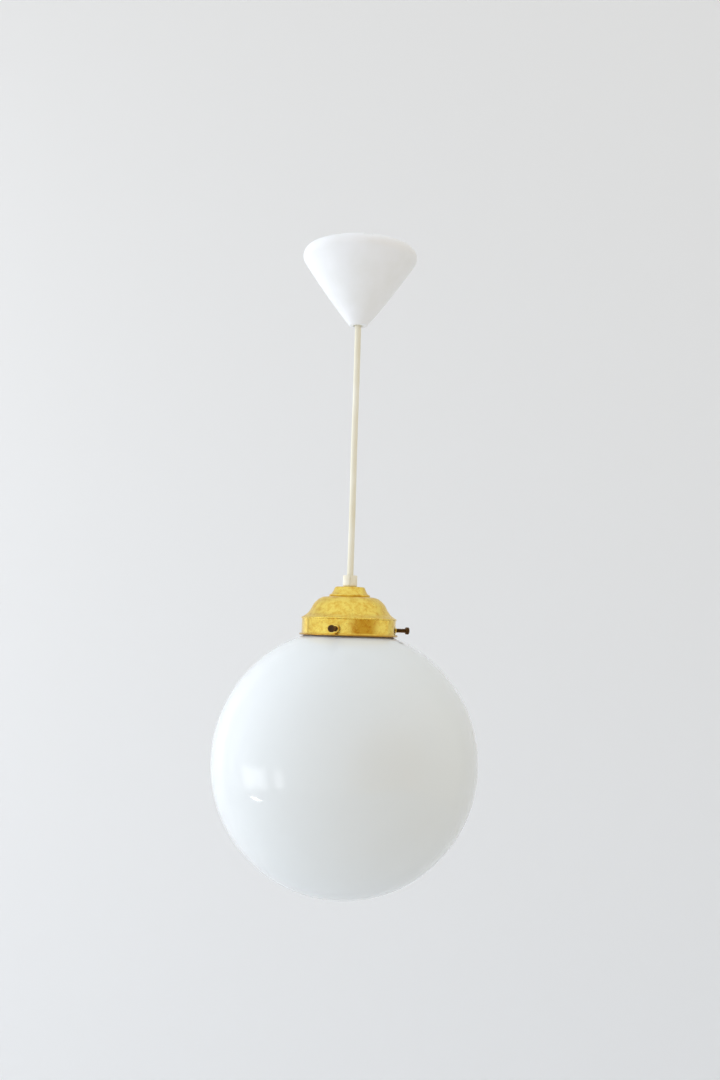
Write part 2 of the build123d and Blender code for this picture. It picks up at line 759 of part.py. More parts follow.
# ---------------------------------------------------------------- glass globe
def make_globe():
    reach = globe_r + globe_fillet
    corner_r = globe_neck_r + globe_fillet
    corner = (corner_r, globe_z + math.sqrt(reach ** 2 - corner_r ** 2))
    lean = math.degrees(math.atan2(corner[1] - globe_z, corner_r))
    inner_r, neck_in = globe_r - globe_wall, globe_neck_r - globe_wall
    lip_z = globe_lip_low + globe_lip_swell
    edge_z = globe_lip_top - globe_edge_r
    out_edge, in_edge = globe_lip_r - globe_edge_r, neck_in + globe_edge_r
    return spun(arc((0, globe_z), globe_r, -90, lean),
                arc(corner, globe_fillet, lean - 180, -180),
                Line(at(globe_neck_r, corner[1]), at(globe_neck_r, globe_lip_low)),
                Line(at(globe_neck_r, globe_lip_low), at(globe_lip_r, lip_z)),
                Line(at(globe_lip_r, lip_z), at(globe_lip_r, edge_z)),
                arc((out_edge, edge_z), globe_edge_r, 0, 90),
                Line(at(out_edge, globe_lip_top), at(in_edge, globe_lip_top)),
                arc((in_edge, edge_z), globe_edge_r, 90, 180),
                Line(at(neck_in, edge_z), at(neck_in, corner[1])),
                arc(corner, globe_fillet + globe_wall, -180, lean - 180),
                arc((0, globe_z), inner_r, lean, -90),
                Line(at(0, globe_z - inner_r), at(0, globe_z - globe_r)))


# ---------------------------------------------------------------- the whole light
hanging_from_ceiling = {
    "ceiling_plate": make_ceiling_plate(),
    "ceiling_hook": make_ceiling_hook(),
    "hanger_strap": make_hanger_strap(),
    "cord_clamp": make_cord_clamp(),
    "clamp_screws": make_clamp_screws(),
    "terminal_block": make_terminal_block(),
    "terminal_tubes": make_terminal_tubes(),
    "terminal_screws": make_terminal_screws(),
    "block_screw": make_block_screw(),
    "upper_conductors": make_upper_conductors(),
    "canopy": make_canopy(),
    "canopy_bush": make_canopy_bush(),
    "flex": make_flex(),
    "flex_tail": make_flex_tail(),
    "cord_grip": make_cord_grip(),
    "grip_screw": make_grip_screw(),
}

on_the_gallery = {
    "gallery": bore_gallery(make_gallery()),
    "screw_bosses": make_screw_bosses(),
    "gallery_cap": make_gallery_cap(),
    "nipple": make_nipple(),
    "upper_nut": make_upper_nut(),
    "washer": make_washer(),
    "lower_nut": make_lower_nut(),
    "holder_cap": make_holder_cap(),
    "holder_skirt": make_holder_skirt(),
    "holder_insert": make_holder_insert(),
    "thread_shell": make_thread_shell(),
    "centre_contact": make_centre_contact(),
    "holder_terminals": make_holder_terminals(),
    "holder_conductors": make_holder_conductors(),
    "bulb_cap": make_bulb_cap(),
    "bulb_insulator": make_bulb_insulator(),
    "bulb_contact": make_bulb_contact(),
    "bulb_glass": make_bulb_glass(),
    "bulb_stem": make_bulb_stem(),
    "filament": make_filament(),
    "globe": make_globe(),
}
for number, degrees in enumerate(screw_angles(), 1):
    on_the_gallery[f"thumbscrew_{number}"] = make_thumbscrew(degrees)

os.makedirs("parts", exist_ok=True)
for name, part in hanging_from_ceiling.items():
    export_step(part, f"parts/{name}.step")
for name, part in on_the_gallery.items():
    export_step(Pos(0, 0, flange_z) * part, f"parts/{name}.step")
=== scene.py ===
import bmesh
import bpy
import math
from mathutils import Matrix, Quaternion, Vector, noise


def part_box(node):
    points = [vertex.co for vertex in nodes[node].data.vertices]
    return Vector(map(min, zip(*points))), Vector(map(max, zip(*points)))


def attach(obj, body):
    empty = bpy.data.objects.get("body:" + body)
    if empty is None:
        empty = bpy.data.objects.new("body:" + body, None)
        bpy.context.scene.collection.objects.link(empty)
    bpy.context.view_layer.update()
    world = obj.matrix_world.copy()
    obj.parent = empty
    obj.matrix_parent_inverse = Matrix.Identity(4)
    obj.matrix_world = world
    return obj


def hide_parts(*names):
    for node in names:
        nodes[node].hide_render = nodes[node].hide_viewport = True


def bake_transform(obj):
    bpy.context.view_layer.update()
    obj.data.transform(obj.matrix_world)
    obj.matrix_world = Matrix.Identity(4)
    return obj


# Pendant ceiling light: opal globe, brass gallery with three thumbscrews, cream flex, white cone canopy.
# Metres and +Z up, as in the frame. Dictionaries give sizes in millimetres unless they say otherwise.
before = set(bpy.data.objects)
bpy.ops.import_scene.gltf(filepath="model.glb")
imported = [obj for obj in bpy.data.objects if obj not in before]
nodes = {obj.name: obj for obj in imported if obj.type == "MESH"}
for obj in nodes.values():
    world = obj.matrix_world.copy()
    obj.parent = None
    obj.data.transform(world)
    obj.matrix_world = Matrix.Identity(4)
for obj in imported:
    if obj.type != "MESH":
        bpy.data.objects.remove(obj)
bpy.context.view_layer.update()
print("frame loaded:", len(nodes), "CAD nodes")

mm = 0.001
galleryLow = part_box("gallery")[0]
globeLow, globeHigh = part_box("globe")
flangeZ = galleryLow.z                  # lowest edge of the brass, where the gallery's heights start
globeRadius = (globeHigh.x - globeLow.x) / 2
globeCentre = Vector((0, 0, globeLow.z + globeRadius))


# ---- camera, level with the gallery and looking slightly up
camera = {
    "lens": 38.33,          # mm on a 36 mm long side
    "aside": 0.0082,        # m
    "away": 1.093,          # m in front of the light
    "aboveFlange": 0.006,   # m
    "lookUp": 4.475,        # degrees
    "roll": 1.755,          # degrees
}


def placeCamera():
    lens = bpy.data.cameras.new("camera")
    lens.lens, lens.sensor_width = camera["lens"], 36
    holder = bpy.data.objects.new("camera", lens)
    bpy.context.scene.collection.objects.link(holder)
    spot = Matrix.Translation((camera["aside"], -camera["away"], flangeZ + camera["aboveFlange"]))
    aim = Matrix.Rotation(math.radians(90 + camera["lookUp"]), 4, "X")
    holder.matrix_world = spot @ aim @ Matrix.Rotation(math.radians(camera["roll"]), 4, "Z")
    bpy.context.scene.camera = holder


placeCamera()
print("camera placed")


# ---- mesh making
def pieceFrom(name, vertices, faces, sharpAngle=35):
    mesh = bpy.data.meshes.new(name)
    mesh.from_pydata([tuple(v) for v in vertices], [], faces)
    work = bmesh.new()
    work.from_mesh(mesh)
    bmesh.ops.remove_doubles(work, verts=work.verts, dist=1e-7)
    bmesh.ops.recalc_face_normals(work, faces=work.faces)
    work.to_mesh(mesh)
    work.free()
    mesh.polygons.foreach_set("use_smooth", [True] * len(mesh.polygons))
    mesh.set_sharp_from_angle(angle=math.radians(sharpAngle))
    piece = bpy.data.objects.new(name, mesh)
    bpy.context.scene.collection.objects.link(piece)
    return piece


def skinOf(rings, closed):
    # quads between rings of equally many points; an open row of rings is capped at both ends
    count = len(rings[0])
    faces = []
    for row in range(len(rings) if closed else len(rings) - 1):
        here, there = row * count, (row + 1) % len(rings) * count
        faces += [(here + i, here + (i + 1) % count, there + (i + 1) % count,
                   there + i) for i in range(count)]
    if not closed:
        last = (len(rings) - 1) * count
        faces += [tuple(range(count)), tuple(last + i for i in range(count))]
    return [point for ring in rings for point in ring], faces


def lathe(name, outline, sides, wobble=0.0, wobbleSize=15.0, place=Matrix()):
    # the closed outline of (radius, height) in mm turned about Z; wobble is hand-made unevenness in mm
    rings = []
    for radius, height in outline:
        ring = []
        for i in range(sides):
            turn = 2 * math.pi * i / sides
            point = Vector((radius * math.cos(turn), radius * math.sin(turn), height))
            push = wobble * noise.noise(point / wobbleSize) if radius > 0 else 0
            across = Vector((math.cos(turn), math.sin(turn), 0))
            ring.append(place @ ((point + across * push) * mm))
        rings.append(ring)
    return pieceFrom(name, *skinOf(rings, closed=True))


def arcPoints(centre, radius, start, end, steps):
    turns = [math.radians(start + (end - start) * i / steps) for i in range(steps + 1)]
    return [(centre[0] + radius * math.cos(t), centre[1] + radius * math.sin(t)) for t in turns]


def throughPoints(points, steps):
    # a smooth line through the points
    line = []
    for i in range(len(points) - 1):
        before, start = Vector(points[max(i - 1, 0)]), Vector(points[i])
        end, after = Vector(points[i + 1]), Vector(points[min(i + 2, len(points) - 1)])
        for step in range(steps):
            t = step / steps
            a = 2 * start + (end - before) * t
            b = (2 * before - 5 * start + 4 * end - after) * t * t
            c = (3 * start - before - 3 * end + after) * t ** 3
            line.append(tuple((a + b + c) / 2))
    return line + [tuple(points[-1])]


def insetLine(points, wall):
    moved = []
    for i, (r, z) in enumerate(points):
        before, after = points[max(i - 1, 0)], points[min(i + 1, len(points) - 1)]
        step = Vector((after[0] - before[0], after[1] - before[1])).normalized()
        moved.append((r - wall * step.y, z + wall * step.x))
    return moved


def tubeAlong(name, points, radius, sides, uneven=0.0):
    # a round tube, its rings turned along the line with no twist
    points = [Vector(p) for p in points]
    along = (points[1] - points[0]).normalized()
    across = along.orthogonal().normalized()
    rings = []
    for i, point in enumerate(points):
        step = (points[min(i + 1, len(points) - 1)] - points[max(i - 1, 0)]).normalized()
        across = (along.rotation_difference(step) @ across).normalized()
        along = step
        other = along.cross(across)
        size = radius + uneven * noise.noise(point * 90)
        turns = [2 * math.pi * s / sides for s in range(sides)]
        rings.append([point + (across * math.cos(t) + other * math.sin(t)) * size for t in turns])
    return pieceFrom(name, *skinOf(rings, closed=False), sharpAngle=50)


def threaded(name, outer, pitch, depth, low, high, sides, place=Matrix(), bore=0, sheet=0):
    # a rod along Z with a helical thread, a tube with a plain bore, or a thread rolled in sheet. In mm
    rowsPerTurn = 12
    rows = max(2, round((high - low) / pitch * rowsPerTurn))
    turns = [2 * math.pi * i / sides for i in range(sides)]

    def ringAt(z, shrink):
        fade = max(0, min(1, (z - low) / pitch, (high - z) / pitch))     # the thread runs out at both ends
        ring = []
        for turn in turns:
            phase = (z / pitch - turn / (2 * math.pi)) % 1
            crest = (1 + math.cos(2 * math.pi * phase)) / 2 if sheet else abs(2 * phase - 1)
            radius = outer - shrink - depth * (1 - crest * fade)
            ring.append(place @ (Vector((radius * math.cos(turn), radius * math.sin(turn), z)) * mm))
        return ring

    heights = [low + (high - low) * row / rows for row in range(rows + 1)]
    rings = [ringAt(z, 0) for z in heights]
    if sheet:
        rings += [ringAt(z, sheet) for z in reversed(heights)]
    elif bore:
        rings += [[place @ (Vector((bore * math.cos(t), bore * math.sin(t), z)) * mm) for t in turns]
                  for z in (high, low)]
    return pieceFrom(name, *skinOf(rings, closed=bool(sheet or bore)), sharpAngle=75)


def joined(name, pieces):
    # one mesh of several closed shells
    work = bmesh.new()
    for piece in pieces:
        work.from_mesh(piece.data)
    mesh = bpy.data.meshes.new(name)
    work.to_mesh(mesh)
    work.free()
    for piece in pieces:
        bpy.data.objects.remove(piece)
    whole = bpy.data.objects.new(name, mesh)
    bpy.context.scene.collection.objects.link(whole)
    return whole


def finishPiece(piece, material, body, slotName, *replaced):
    piece.data.materials.clear()
    piece.data.materials.append(material)
    if body:
        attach(piece, body)
    if replaced:
        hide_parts(*replaced)
    return piece


# ---- material making
def linear(hexColour):
    # sRGB hex to the linear colour that Blender works in
    parts = [int(hexColour[i:i + 2], 16) / 255 for i in (1, 3, 5)]
    return [*[c / 12.92 if c <= 0.04045 else ((c + 0.055) / 1.055) ** 2.4 for c in parts], 1.0]


def perMm(size):
    # the scale of a pattern whose grains or lines are this many millimetres apart
    return 1 / (size * mm)


def addNode(tree, kind, inputs=None, **settings):
    made = tree.nodes.new(kind)
    for name, value in settings.items():
        setattr(made, name, value)
    for socket, value in (inputs or {}).items():
        if isinstance(value, bpy.types.NodeSocket):
            tree.links.new(value, made.inputs[socket])
        else:
            made.inputs[socket].default_value = value
    return made


def startMaterial(name):
    material = bpy.data.materials.new(name)
    material.use_nodes = True
    tree = material.node_tree
    tree.nodes.clear()
    shader = addNode(tree, "ShaderNodeBsdfPrincipled")
    addNode(tree, "ShaderNodeOutputMaterial", {"Surface": shader.outputs[0]})
    place = addNode(tree, "ShaderNodeTexCoord").outputs["Object"]
    return material, tree, shader, place


def spunBrass():
    # Brass sheet, spun on a lathe, polished long ago: warm mirror with fine turning rings,
    # amber and brown patina in patches, small dark pits
    material, tree, shader, place = startMaterial("spunBrass")
    shader.inputs["Metallic"].default_value = 1.0
    # colour: lemon where it is clean, amber clouds 5 mm wide, brown stains 3 mm, pits 1 mm
    clouds = addNode(tree, "ShaderNodeTexNoise", {"Vector": place, "Scale": perMm(5), "Detail": 7.0,
                                                  "Roughness": 0.72, "Distortion": 0.3})
    amber = addNode(tree, "ShaderNodeMapRange",
                    {"Value": clouds.outputs["Fac"], "From Min": 0.44, "From Max": 0.68, "To Max": 0.8})
    toAmber = addNode(tree, "ShaderNodeMix",
                      {0: amber.outputs[0], 6: linear("#F3D769"), 7: linear("#D8A02E")},
                      data_type="RGBA")
    stains = addNode(tree, "ShaderNodeTexNoise", {"Vector": place, "Scale": perMm(2.6), "Detail": 7.0,
                                                  "Roughness": 0.75})
    brown = addNode(tree, "ShaderNodeMapRange",
                    {"Value": stains.outputs["Fac"], "From Min": 0.60, "From Max": 0.72, "To Max": 0.6})
    toBrown = addNode(tree, "ShaderNodeMix",
                      {0: brown.outputs[0], 6: toAmber.outputs[2], 7: linear("#8F5F18")},
                      data_type="RGBA")
    spots = addNode(tree, "ShaderNodeTexNoise", {"Vector": place, "Scale": perMm(1.1), "Detail": 3.0})
    pit = addNode(tree, "ShaderNodeMapRange",
                  {"Value": spots.outputs["Fac"], "From Min": 0.70, "From Max": 0.75})
    toPit = addNode(tree, "ShaderNodeMix", {0: pit.outputs[0], 6: toBrown.outputs[2], 7: linear("#5A3A1A")},
                    data_type="RGBA")
    # the flange is a darker orange brown over its lowest 2 mm
    height = addNode(tree, "ShaderNodeSeparateXYZ", {"Vector": place})
    lowEdge = addNode(tree, "ShaderNodeMapRange",
                      {"Value": height.outputs["Z"], "From Min": flangeZ + 2.2 * mm,
                       "From Max": flangeZ + 0.6 * mm, "To Max": 0.85})
    toEdge = addNode(tree, "ShaderNodeMix",
                     {0: lowEdge.outputs[0], 6: toPit.outputs[2], 7: linear("#A8702C")},
                     data_type="RGBA")
    tree.links.new(toEdge.outputs[2], shader.inputs["Base Color"])
    # the band was wiped bright; the dome above it has gone softer
    domeDull = addNode(tree, "ShaderNodeMapRange",
                       {"Value": height.outputs["Z"], "From Min": flangeZ + 14 * mm,
                        "From Max": flangeZ + 19 * mm, "To Min": 0.13, "To Max": 0.30})
    stainDull = addNode(tree, "ShaderNodeMapRange",
                        {"Value": stains.outputs["Fac"], "From Min": 0.45, "From Max": 0.72,
                         "To Min": 0.0, "To Max": 0.22})
    dull = addNode(tree, "ShaderNodeMath", {0: domeDull.outputs[0], 1: stainDull.outputs[0]}, operation="ADD")
    tree.links.new(dull.outputs[0], shader.inputs["Roughness"])
    # turning rings 0.5 mm apart: noise that changes with radius and height but not round the axis
    flatPlace = addNode(tree, "ShaderNodeCombineXYZ", {"X": height.outputs["X"], "Y": height.outputs["Y"]})
    radius = addNode(tree, "ShaderNodeVectorMath", {0: flatPlace.outputs[0]}, operation="LENGTH")
    ringPlace = addNode(tree, "ShaderNodeCombineXYZ",
                        {"X": radius.outputs["Value"], "Z": height.outputs["Z"]})
    rings = addNode(tree, "ShaderNodeTexNoise",
                    {"Vector": ringPlace.outputs[0], "Scale": perMm(0.5), "Detail": 2.0})
    ringBump = addNode(tree, "ShaderNodeBump", {"Height": rings.outputs["Fac"], "Strength": 0.2,
                                                "Distance": 0.02 * mm})
    mottle = addNode(tree, "ShaderNodeBump", {"Height": stains.outputs["Fac"], "Strength": 0.25,
                                              "Distance": 0.15 * mm, "Normal": ringBump.outputs[0]})
    pitBump = addNode(tree, "ShaderNodeBump",
                      {"Height": pit.outputs[0], "Strength": 0.5, "Distance": 0.05 * mm,
                       "Normal": mottle.outputs[0]}, invert=True)
    tree.links.new(pitBump.outputs[0], shader.inputs["Normal"])
    return material


def agedBrass():
    # Brass screws, turned and knurled, never polished since: dark brown oxide,
    # bronze where fingers rub the edges
    material, tree, shader, place = startMaterial("agedBrass")
    shader.inputs["Metallic"].default_value = 1.0
    rub = addNode(tree, "ShaderNodeNewGeometry").outputs["Pointiness"]
    worn = addNode(tree, "ShaderNodeMapRange", {"Value": rub, "From Min": 0.53, "From Max": 0.60})
    oxide = addNode(tree, "ShaderNodeTexNoise", {"Vector": place, "Scale": perMm(0.9), "Detail": 4.0})
    darker = addNode(tree, "ShaderNodeMix",
                     {0: oxide.outputs["Fac"], 6: linear("#33271E"), 7: linear("#5A4029")},
                     data_type="RGBA")
    bronze = addNode(tree, "ShaderNodeMix", {0: worn.outputs[0], 6: darker.outputs[2], 7: linear("#C08D4E")},
                     data_type="RGBA")
    tree.links.new(bronze.outputs[2], shader.inputs["Base Color"])
    dull = addNode(tree, "ShaderNodeMapRange", {"Value": oxide.outputs["Fac"], "To Min": 0.3, "To Max": 0.6})
    tree.links.new(dull.outputs[0], shader.inputs["Roughness"])
    skin = addNode(tree, "ShaderNodeBump",
                   {"Height": oxide.outputs["Fac"], "Strength": 0.3, "Distance": 0.03 * mm})
    tree.links.new(skin.outputs[0], shader.inputs["Normal"])
    return material


def opalGlass():
    # Opal glass, blown and fire polished: milky body that light soaks into,
    # hard gloss a little dulled by dust
    material, tree, shader, place = startMaterial("opalGlass")
    clouds = addNode(tree, "ShaderNodeTexNoise", {"Vector": place, "Scale": perMm(70), "Detail": 2.0})
    milk = addNode(tree, "ShaderNodeMix",
                   {0: clouds.outputs["Fac"], 6: linear("#F5FAFA"), 7: linear("#F1F7F7")},
                   data_type="RGBA")
    tree.links.new(milk.outputs[2], shader.inputs["Base Color"])
    shader.inputs["Subsurface Weight"].default_value = 0.35
    shader.inputs["Subsurface Radius"].default_value = (1.0, 1.0, 1.0)
    shader.inputs["Subsurface Scale"].default_value = 12 * mm
    shader.inputs["IOR"].default_value = 1.5
    dust = addNode(tree, "ShaderNodeTexNoise", {"Vector": place, "Scale": perMm(9), "Detail": 5.0})
    dull = addNode(tree, "ShaderNodeMapRange",
                   {"Value": dust.outputs["Fac"], "From Min": 0.4, "From Max": 0.7,
                    "To Min": 0.06, "To Max": 0.08})
    tree.links.new(dull.outputs[0], shader.inputs["Roughness"])
    return material


def mouldedPlastic(name, light, dark, roughness, grain, mottle, relief=0.02):
    # ABS, nylon or phenolic, moulded in a lightly eroded steel mould: satin, fine grain, uneven yellowing.
    # The bulb's moulded glass insulator has the same marks, only glossier
    material, tree, shader, place = startMaterial(name)
    ageing = addNode(tree, "ShaderNodeTexNoise", {"Vector": place, "Scale": perMm(mottle), "Detail": 4.0})
    patchy = addNode(tree, "ShaderNodeMapRange",
                     {"Value": ageing.outputs["Fac"], "From Min": 0.35, "From Max": 0.7})
    tint = addNode(tree, "ShaderNodeMix", {0: patchy.outputs[0], 6: linear(light), 7: linear(dark)},
                   data_type="RGBA")
    tree.links.new(tint.outputs[2], shader.inputs["Base Color"])
    sand = addNode(tree, "ShaderNodeTexNoise", {"Vector": place, "Scale": perMm(grain), "Detail": 2.0})
    dull = addNode(tree, "ShaderNodeMapRange", {"Value": ageing.outputs["Fac"], "To Min": roughness - 0.06,
                                                "To Max": roughness + 0.08})
    tree.links.new(dull.outputs[0], shader.inputs["Roughness"])
    # a moulded edge is never sharp: its corners are rounded by 0.25 mm
    soft = addNode(tree, "ShaderNodeBevel", {"Radius": 0.25 * mm}, samples=4)
    bump = addNode(tree, "ShaderNodeBump",
                   {"Height": sand.outputs["Fac"], "Strength": 0.3, "Distance": relief * mm,
                    "Normal": soft.outputs[0]})
    tree.links.new(bump.outputs[0], shader.inputs["Normal"])
    return material


def extrudedPvc(name, light, dark, across):
    # Soft PVC, extruded: satin, faint lines along its length, handled darker in stretches
    material, tree, shader, place = startMaterial(name)
    spread = addNode(tree, "ShaderNodeMapping", {"Vector": place, "Scale": (1.0, 1.0, 0.06)})
    lines = addNode(tree, "ShaderNodeTexNoise",
                    {"Vector": spread.outputs[0], "Scale": perMm(across), "Detail": 1.0})
    grime = addNode(tree, "ShaderNodeTexNoise", {"Vector": place, "Scale": perMm(60), "Detail": 3.0})
    handled = addNode(tree, "ShaderNodeMapRange",
                      {"Value": grime.outputs["Fac"], "From Min": 0.35, "From Max": 0.7})
    tint = addNode(tree, "ShaderNodeMix", {0: handled.outputs[0], 6: linear(light), 7: linear(dark)},
                   data_type="RGBA")
    tree.links.new(tint.outputs[2], shader.inputs["Base Color"])
    dull = addNode(tree, "ShaderNodeMapRange", {"Value": grime.outputs["Fac"], "To Min": 0.34, "To Max": 0.5})
    tree.links.new(dull.outputs[0], shader.inputs["Roughness"])
    bump = addNode(tree, "ShaderNodeBump",
                   {"Height": lines.outputs["Fac"], "Strength": 0.25, "Distance": 0.02 * mm})
    tree.links.new(bump.outputs[0], shader.inputs["Normal"])
    return material


def bareMetal(name, light, dark, roughness, scratch, along=(1.0, 1.0, 1.0)):
    # Plated, drawn or turned metal: fine tool lines in one direction, cloudy tarnish
    material, tree, shader, place = startMaterial(name)
    shader.inputs["Metallic"].default_value = 1.0
    cloud = addNode(tree, "ShaderNodeTexNoise", {"Vector": place, "Scale": perMm(5), "Detail": 5.0})
    tarnish = addNode(tree, "ShaderNodeMapRange",
                      {"Value": cloud.outputs["Fac"], "From Min": 0.35, "From Max": 0.7})
    tint = addNode(tree, "ShaderNodeMix", {0: tarnish.outputs[0], 6: linear(light), 7: linear(dark)},
                   data_type="RGBA")
    tree.links.new(tint.outputs[2], shader.inputs["Base Color"])
    spread = addNode(tree, "ShaderNodeMapping", {"Vector": place, "Scale": along})
    lines = addNode(tree, "ShaderNodeTexNoise",
                    {"Vector": spread.outputs[0], "Scale": perMm(scratch), "Detail": 3.0})
    dull = addNode(tree, "ShaderNodeMapRange", {"Value": lines.outputs["Fac"], "To Min": roughness - 0.1,
                                                "To Max": roughness + 0.12})
    tree.links.new(dull.outputs[0], shader.inputs["Roughness"])
    soft = addNode(tree, "ShaderNodeBevel", {"Radius": 0.15 * mm}, samples=4)
    bump = addNode(tree, "ShaderNodeBump",
                   {"Height": lines.outputs["Fac"], "Strength": 0.25, "Distance": 0.02 * mm,
                    "Normal": soft.outputs[0]})
    tree.links.new(bump.outputs[0], shader.inputs["Normal"])
    return material


def glazedPorcelain():
    # Porcelain, pressed and glazed: warm white, wet gloss with orange-peel ripple
    material, tree, shader, place = startMaterial("glazedPorcelain")
    shader.inputs["IOR"].default_value = 1.54
    body = addNode(tree, "ShaderNodeTexNoise", {"Vector": place, "Scale": perMm(4), "Detail": 3.0})
    tint = addNode(tree, "ShaderNodeMix",
                   {0: body.outputs["Fac"], 6: linear("#F2EFE6"), 7: linear("#E4DFD0")},
                   data_type="RGBA")
    tree.links.new(tint.outputs[2], shader.inputs["Base Color"])
    shader.inputs["Roughness"].default_value = 0.12
    bump = addNode(tree, "ShaderNodeBump",
                   {"Height": body.outputs["Fac"], "Strength": 0.2, "Distance": 0.05 * mm})
    tree.links.new(bump.outputs[0], shader.inputs["Normal"])
    return material


def blownGlass(name, colour, roughness, etch):
    # Soda-lime glass, machine blown: clear, or acid frosted inside so that it only glows through
    material, tree, shader, place = startMaterial(name)
    shader.inputs["Base Color"].default_value = linear(colour)
    shader.inputs["Transmission Weight"].default_value = 1.0
    shader.inputs["IOR"].default_value = 1.52
    frost = addNode(tree, "ShaderNodeTexNoise", {"Vector": place, "Scale": perMm(etch), "Detail": 3.0})
    dull = addNode(tree, "ShaderNodeMapRange", {"Value": frost.outputs["Fac"], "To Min": roughness,
                                                "To Max": roughness * 1.5})
    tree.links.new(dull.outputs[0], shader.inputs["Roughness"])
    return material


def stripedPvc():
    # Core insulation of the earth wire, extruded in two colours: green with a yellow stripe
    material, tree, shader, place = startMaterial("stripedPvc")
    spiral = addNode(tree, "ShaderNodeTexWave", {"Vector": place, "Scale": perMm(14), "Distortion": 0.3},
                     bands_direction="DIAGONAL")
    edge = addNode(tree, "ShaderNodeMapRange",
                   {"Value": spiral.outputs["Fac"], "From Min": 0.62, "From Max": 0.66})
    tint = addNode(tree, "ShaderNodeMix", {0: edge.outputs[0], 6: linear("#3E8A3F"), 7: linear("#E3CF3A")},
                   data_type="RGBA")
    tree.links.new(tint.outputs[2], shader.inputs["Base Color"])
    shader.inputs["Roughness"].default_value = 0.38
    return material


brass = spunBrass()
screwBrass = agedBrass()
opal = opalGlass()
whiteAbs = mouldedPlastic("whiteAbs", "#F8F9FB", "#F1F2F1", 0.36, grain=0.5, mottle=35)
creamNylon = mouldedPlastic("creamNylon", "#F8F5E6", "#F0E9D2", 0.36, grain=0.4, mottle=6)
phenolic = mouldedPlastic("blackPhenolic", "#15120F", "#221B15", 0.22, grain=0.6, mottle=8)
vitrite = mouldedPlastic("vitriteGlass", "#101014", "#1C1C22", 0.12, grain=1.0, mottle=4)
creamPvc = extrudedPvc("creamPvc", "#F3EFDE", "#E9E2C9", across=0.8)
brownPvc = extrudedPvc("brownPvc", "#6B4226", "#54331E", across=0.4)
bluePvc = extrudedPvc("bluePvc", "#3B78B5", "#2F6298", across=0.4)
earthPvc = stripedPvc()
zincSteel = bareMetal("zincSteel", "#C9CACB", "#A9A69C", 0.36, scratch=0.25, along=(1.0, 1.0, 0.15))
turnedBrass = bareMetal("turnedBrass", "#E3C277", "#B98F45", 0.3, scratch=0.2, along=(0.2, 0.2, 1.0))
drawnAluminium = bareMetal("drawnAluminium", "#DADBDD", "#BFC0C2", 0.3, scratch=0.2, along=(0.2, 0.2, 1.0))
polishedBrass = bareMetal("polishedBrass", "#F8DC78", "#E4B548", 0.2, scratch=0.3)
tungsten = bareMetal("drawnTungsten", "#8C8C90", "#6B6B70", 0.45, scratch=0.1)
porcelain = glazedPorcelain()
frosted = blownGlass("frostedGlass", "#F5F6F4", 0.35, etch=0.4)
clearGlass = blownGlass("clearGlass", "#F2F6F5", 0.02, etch=5)
print("materials made")


# ---- flex: a round cord from the clamp in the canopy down into the grip
cord = {
    "diameter": 0.006,          # m
    "bodyChangeAbove": 0.0065,  # m above the grip, where the cord starts to bend with the shade
    "sides": 48, "steps": 24,
    "uneven": 0.00003,          # m, left by the extruder
    # route in metres from the clamp to the grip, straight under the shade's weight but for a slight set
    "route": [(0, 0, -0.056), (0, 0, -0.077), (0.0002, 0, -0.13), (-0.0002, 0, -0.19), (0.0002, 0, -0.25),
              (0, 0, -0.305), (0, 0, -0.3196)],
}


def makeCord():
    line = bpy.data.curves.new("flexRoute", "CURVE")
    line.dimensions = "3D"
    spline = line.splines.new("NURBS")
    spline.points.add(len(cord["route"]) - 1)
    for point, place in zip(spline.points, cord["route"]):
        point.co = (*place, 1)
    spline.order_u = 3
    spline.use_endpoint_u = True
    line.resolution_u = cord["steps"]
    route = bpy.data.objects.new("flexRoute", line)
    bpy.context.scene.collection.objects.link(route)
    bpy.context.view_layer.update()
    sampled = bpy.data.meshes.new_from_object(route)
    points = [v.co.copy() for v in sampled.vertices]
    bpy.data.objects.remove(route)
    flex = tubeAlong("flexCord", points, cord["diameter"] / 2, cord["sides"], uneven=cord["uneven"])
    finishPiece(flex, creamPvc, None, "cream_pvc", "flex")
    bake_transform(flex)


makeCord()


# ---- globe
globe = {
    "wall": 3.0, "neckRadius": 41.0, "neckBend": 2.5, "lipRadius": 42.6, "lipLow": 9.2, "lipTop": 13.0,
    "lipRound": 1.2, "blowing": 0.15,   # hand-blown unevenness
    "sides": 288, "rows": 160,
}


def makeGlobe():
    radius = globeRadius / mm
    centreZ = globeCentre.z / mm
    flange = flangeZ / mm
    bend, wall, rounding = globe["neckBend"], globe["wall"], globe["lipRound"]
    neck, lip = globe["neckRadius"], globe["lipRadius"]
    low, top = flange + globe["lipLow"], flange + globe["lipTop"]
    cornerR = neck + bend
    cornerZ = centreZ + math.sqrt((radius + bend) ** 2 - cornerR ** 2)
    lean = math.degrees(math.atan2(cornerZ - centreZ, cornerR))
    neckIn = neck - wall
    outline = arcPoints((0, centreZ), radius, -90, lean, globe["rows"])
    outline += arcPoints((cornerR, cornerZ), bend, lean - 180, -180, 10)[1:]
    outline += [(neck, low - 0.4), (neck + 0.2, low + 0.1), (lip - 0.2, low + lip - neck)]
    outline += arcPoints((lip - 0.8, low + lip - neck + 0.9), 0.8, -20, 0, 3)
    outline += arcPoints((lip - rounding, top - rounding), rounding, 0, 90, 8)
    outline += arcPoints((neckIn + rounding, top - rounding), rounding, 90, 180, 8)
    outline += arcPoints((cornerR, cornerZ), bend + wall, -180, lean - 180, 8)
    outline += arcPoints((0, centreZ), radius - wall, lean, -90, globe["rows"] // 2)[1:]
    ball = lathe("opalGlobe", outline, globe["sides"], wobble=globe["blowing"], wobbleSize=80)
    return finishPiece(ball, opal, "globe", "opal_glass", "globe")


makeGlobe()
print("globe made")


